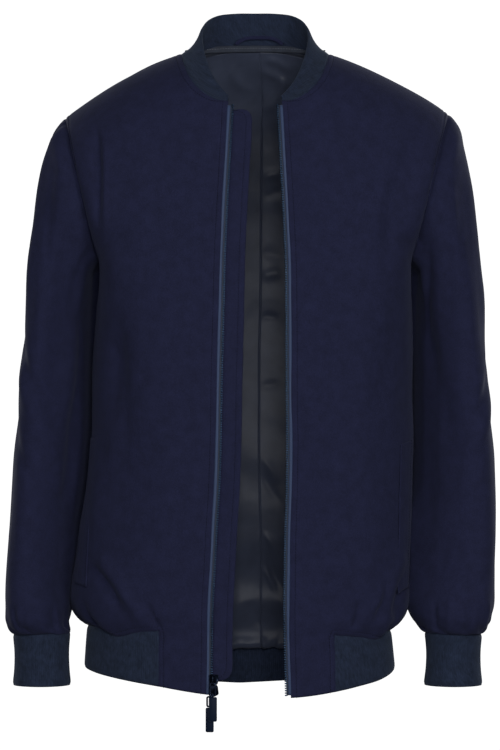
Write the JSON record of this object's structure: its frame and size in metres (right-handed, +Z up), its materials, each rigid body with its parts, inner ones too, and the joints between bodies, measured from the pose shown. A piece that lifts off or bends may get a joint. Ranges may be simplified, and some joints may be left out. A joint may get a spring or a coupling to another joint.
{
  "type": "bomber jacket",
  "caption": "Navy bomber jacket worn open, filled out with no wearer: rib-knit collar, cuffs and hem, two-way zip with a guard, welt pockets and a satin-lined back.",
  "frame": {"origin": "middle of the neck opening, level with the points where the collar's seam meets the shoulder seams, which is where the wearer's shoulders hold the jacket", "axes": "+Z up, the front faces -Y, +X is the wearer's left"},
  "size_m": [0.5608, 0.2605, 0.8215],
  "materials": {
    "shell_cloth": "matt woven cotton blend, deep navy",
    "rib_knit": "matt rib knit, deep navy",
    "satin_lining": "satin, navy",
    "zip_tape": "woven tape with moulded teeth, blue-grey",
    "dark_plated_metal": "dark plated zinc",
    "coated_grip": "satin moulded grip, navy"
  },
  "bodies": {
    "jacket": {"front_left": "shell_cloth", "front_right": "shell_cloth", "back": "shell_cloth", "sleeve_left": "shell_cloth", "sleeve_right": "shell_cloth", "cuff_left": "rib_knit", "cuff_right": "rib_knit", "hem_rib": "rib_knit", "collar": "rib_knit", "lining_back": "satin_lining", "zip_tape_left": "zip_tape", "zip_tape_right": "zip_tape", "zip_guard": "shell_cloth", "pocket_welt_left": "shell_cloth", "pocket_welt_right": "shell_cloth", "hanger_loop": "shell_cloth", "slider_upper": "dark_plated_metal", "slider_lower": "dark_plated_metal"},
    "pull_upper": {"pull_link_upper": "dark_plated_metal", "pull_grip_upper": "coated_grip"},
    "pull_lower": {"pull_link_lower": "dark_plated_metal", "pull_grip_lower": "coated_grip"}
  },
  "joints": [
    {"name": "upper_pull_swing", "type": "hinge", "parent": "jacket", "child": "pull_upper", "pos_m": [-0.0472, -0.13197, -0.7152], "axis": [-0.9919, 0.1272, 0], "range_deg": [0, 175]},
    {"name": "lower_pull_swing", "type": "hinge", "parent": "jacket", "child": "pull_lower", "pos_m": [-0.05082, -0.12682, -0.7307], "axis": [-0.9919, 0.1272, 0], "range_deg": [-80, 2]}
  ]
}
